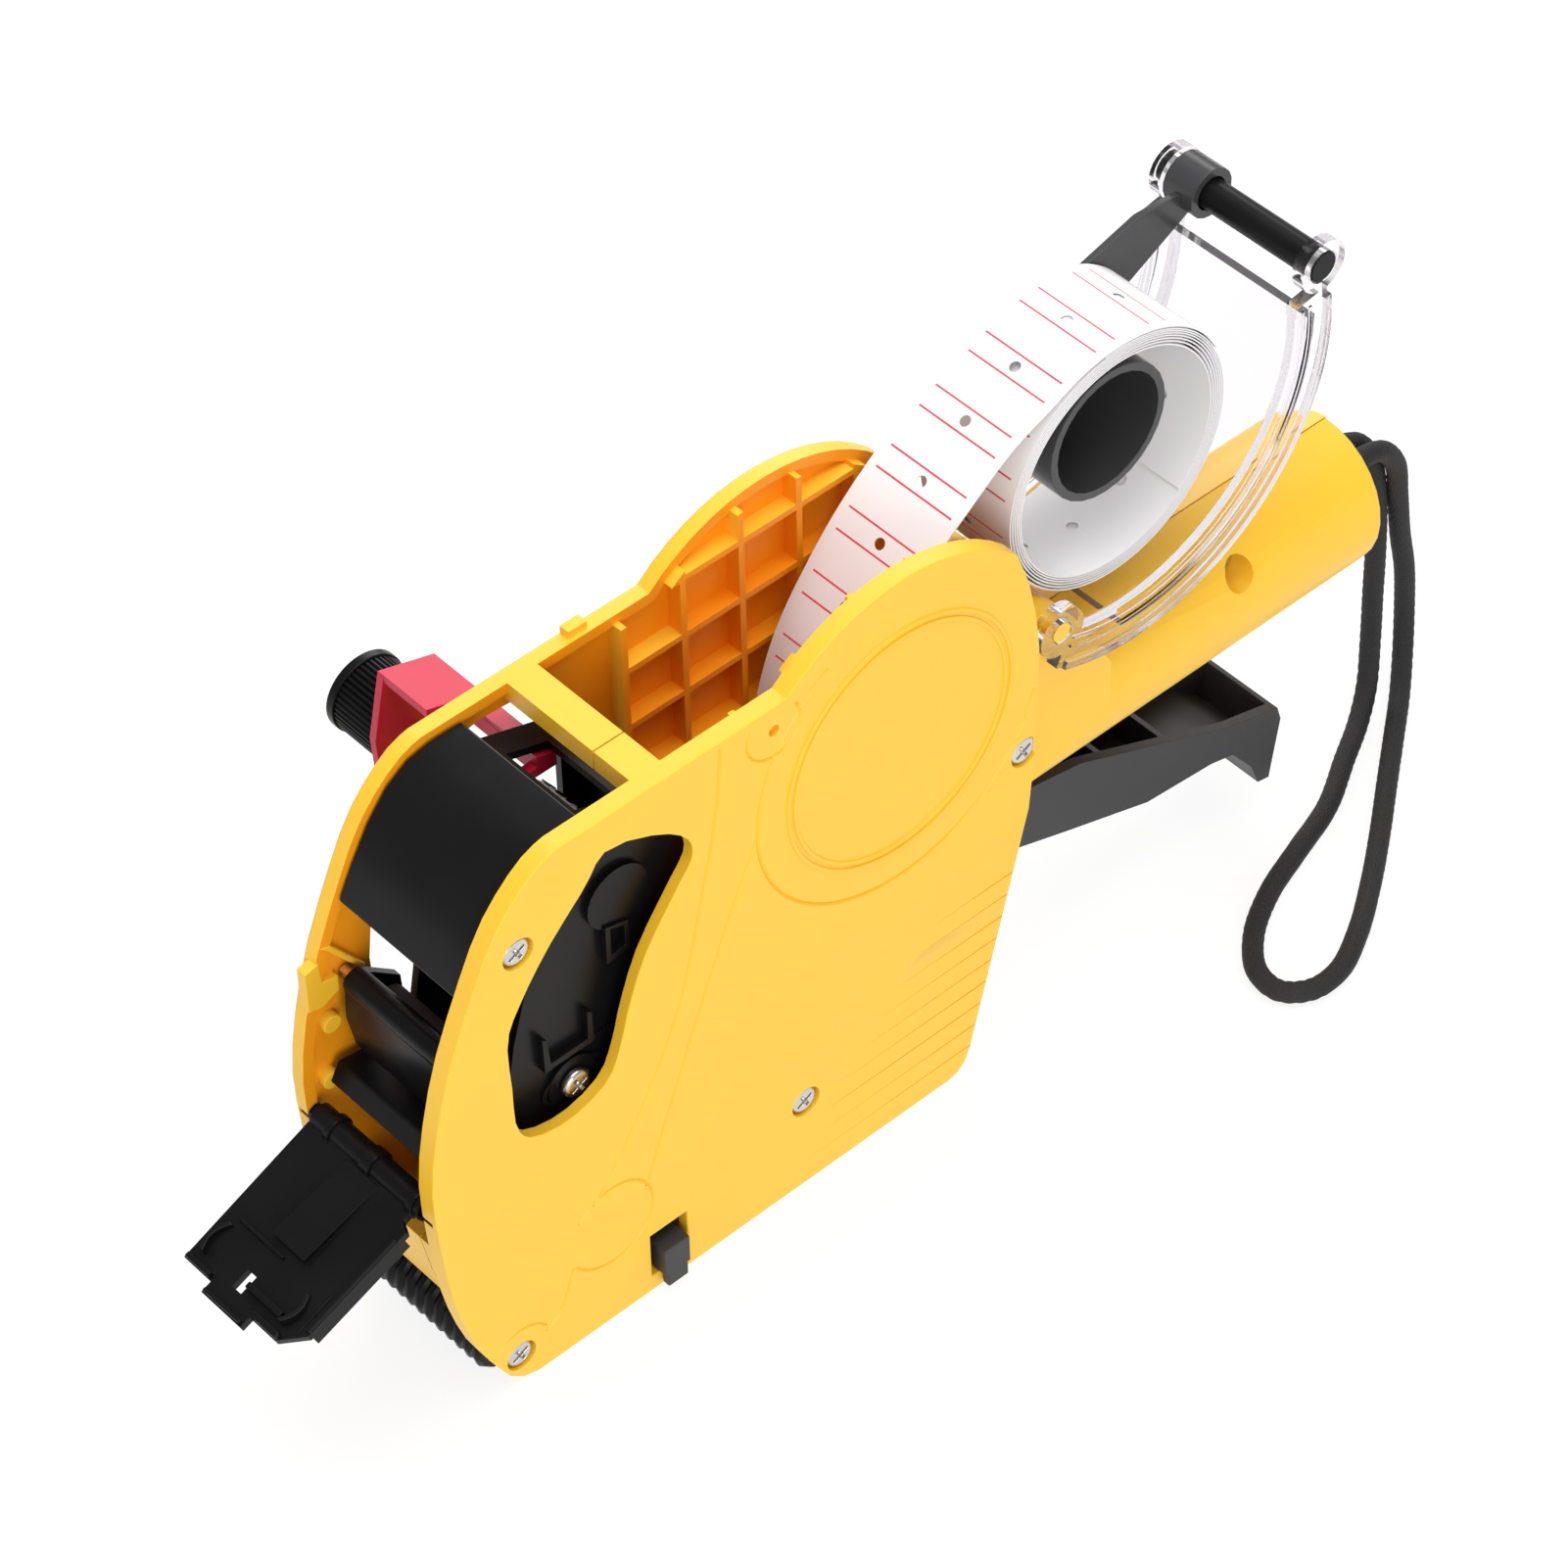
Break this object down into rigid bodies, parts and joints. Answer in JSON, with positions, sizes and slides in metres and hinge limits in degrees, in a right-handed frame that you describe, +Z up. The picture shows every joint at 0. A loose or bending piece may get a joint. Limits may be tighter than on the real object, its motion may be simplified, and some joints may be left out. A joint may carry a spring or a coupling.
{
  "type": "price labeling gun",
  "caption": "Hand-held price labeling gun with a yellow case, a squeeze lever with print head, a setting knob, an open clear roll cover, an open front flap and a wrist cord.",
  "frame": {"origin": "on the flat base, on the mid-plane between the two case halves", "axes": "+X from the nose to the handle's end, +Y from the near case half to the side with the setting knob, +Z up out of the base"},
  "size_m": [0.2754, 0.0995, 0.1408],
  "materials": {
    "yellow_plastic": "moulded warm yellow plastic, satin gloss",
    "black_plastic": "moulded black plastic, satin",
    "dark_grey_plastic": "fine-textured dark grey plastic",
    "red_plastic": "crimson plastic, satin gloss",
    "clear_plastic": "clear polished plastic",
    "white_plastic": "white moulded plastic",
    "label_paper": "white label paper with red cut marks",
    "steel": "bright zinc-plated steel",
    "ink_rubber": "ink-soaked foam rubber",
    "braided_cord": "black braided cord"
  },
  "bodies": {
    "housing": {"near_shell": "yellow_plastic", "far_shell": "yellow_plastic", "case_screw_front": "steel", "case_screw_rear": "steel", "case_screw_base": "steel", "case_screw_handle": "steel", "case_screw_nose": "steel", "lever_pivot_pin": "steel", "return_spring": "steel", "label_guide": "black_plastic", "feed_wheel_axle": "steel", "applicator_axle": "steel", "flap_hinge_pin": "black_plastic", "ink_holder_pin": "steel", "nose_guard": "black_plastic", "label_strip": "label_paper", "wrist_cord": "braided_cord"},
    "lever": {"trigger_lever": "dark_grey_plastic", "print_head_frame": "black_plastic", "print_head_screw": "steel", "lap_screw_near": "steel", "lap_screw_far": "steel", "head_hood": "black_plastic"},
    "bracket": {"selector_bracket": "red_plastic"},
    "knob": {"selector_knob": "black_plastic", "selector_shaft": "steel"},
    "ink_frame": {"ink_holder": "black_plastic", "ink_roller_axle": "steel"},
    "ink_roller_body": {"ink_roller": "ink_rubber"},
    "cover": {"label_cover": "clear_plastic", "cover_bar": "black_plastic", "roll_holder": "black_plastic"},
    "roll": {"label_roll": "label_paper"},
    "feed": {"feed_wheel": "black_plastic"},
    "applicator": {"applicator_roller": "black_plastic"},
    "flap": {"front_flap": "black_plastic"},
    "catch": {"base_catch": "black_plastic"},
    "wheel_1": {"digit_wheel_1": "white_plastic"},
    "wheel_2": {"digit_wheel_2": "white_plastic"},
    "wheel_3": {"digit_wheel_3": "white_plastic"},
    "wheel_4": {"digit_wheel_4": "white_plastic"},
    "wheel_5": {"digit_wheel_5": "white_plastic"},
    "wheel_6": {"digit_wheel_6": "white_plastic"},
    "wheel_7": {"digit_wheel_7": "white_plastic"},
    "wheel_8": {"digit_wheel_8": "white_plastic"}
  },
  "joints": [
    {"name": "trigger_squeeze", "type": "hinge", "parent": "housing", "child": "lever", "pos_m": [0.0545, 0, 0.0465], "axis": [0, -1, 0], "range_deg": [0, 14], "stiffness_Nm_per_rad": 1, "springref_deg": -11.46, "deforming": ["return_spring"]},
    {"name": "knob_slide", "type": "slide", "parent": "lever", "child": "bracket", "axis": [0, -1, 0], "range_m": [0, 0.017]},
    {"name": "knob_spin", "type": "hinge", "parent": "bracket", "child": "knob", "pos_m": [-0.0213, 0, 0.0925], "axis": [0, 1, 0], "continuous": true},
    {"name": "ink_frame_swing", "type": "hinge", "parent": "housing", "child": "ink_frame", "pos_m": [-0.0544, 0, 0.0772], "axis": [0, 1, 0], "range_deg": [0, 7.2]},
    {"name": "ink_roller_spin", "type": "hinge", "parent": "ink_frame", "child": "ink_roller_body", "pos_m": [-0.0504, 0, 0.0706], "axis": [0, 1, 0], "continuous": true},
    {"name": "cover_swing", "type": "hinge", "parent": "housing", "child": "cover", "pos_m": [0.0714, 0, 0.0913], "axis": [0, -1, 0], "range_deg": [0, 116], "deforming": ["label_strip"]},
    {"name": "label_roll_spin", "type": "hinge", "parent": "cover", "child": "roll", "pos_m": [0.0903, 0, 0.11263], "axis": [0, 1, 0], "continuous": true},
    {"name": "feed_wheel_spin", "type": "hinge", "parent": "housing", "child": "feed", "pos_m": [0.008, 0, 0.0364], "axis": [0, 1, 0], "continuous": true},
    {"name": "applicator_spin", "type": "hinge", "parent": "housing", "child": "applicator", "pos_m": [-0.0505, 0, 0.0068], "axis": [0, 1, 0], "continuous": true},
    {"name": "front_flap_swing", "type": "hinge", "parent": "housing", "child": "flap", "pos_m": [-0.0634, 0, 0.051], "axis": [0, -1, 0], "range_deg": [-20, 62]},
    {"name": "base_catch_slide", "type": "slide", "parent": "housing", "child": "catch", "axis": [0, 0, 1], "range_m": [0, 0.0028]},
    {"name": "digit_wheel_1_spin", "type": "hinge", "parent": "lever", "child": "wheel_1", "pos_m": [-0.0213, 0, 0.0925], "axis": [0, 1, 0], "continuous": true},
    {"name": "digit_wheel_2_spin", "type": "hinge", "parent": "lever", "child": "wheel_2", "pos_m": [-0.0213, 0, 0.0925], "axis": [0, 1, 0], "continuous": true},
    {"name": "digit_wheel_3_spin", "type": "hinge", "parent": "lever", "child": "wheel_3", "pos_m": [-0.0213, 0, 0.0925], "axis": [0, 1, 0], "continuous": true},
    {"name": "digit_wheel_4_spin", "type": "hinge", "parent": "lever", "child": "wheel_4", "pos_m": [-0.0213, 0, 0.0925], "axis": [0, 1, 0], "continuous": true},
    {"name": "digit_wheel_5_spin", "type": "hinge", "parent": "lever", "child": "wheel_5", "pos_m": [-0.0213, 0, 0.0925], "axis": [0, 1, 0], "continuous": true},
    {"name": "digit_wheel_6_spin", "type": "hinge", "parent": "lever", "child": "wheel_6", "pos_m": [-0.0213, 0, 0.0925], "axis": [0, 1, 0], "continuous": true},
    {"name": "digit_wheel_7_spin", "type": "hinge", "parent": "lever", "child": "wheel_7", "pos_m": [-0.0213, 0, 0.0925], "axis": [0, 1, 0], "continuous": true},
    {"name": "digit_wheel_8_spin", "type": "hinge", "parent": "lever", "child": "wheel_8", "pos_m": [-0.0213, 0, 0.0925], "axis": [0, 1, 0], "continuous": true}
  ],
  "couplings": [
    {"joint": "ink_frame_swing", "follows": "trigger_squeeze", "ratio": 0.5}
  ]
}
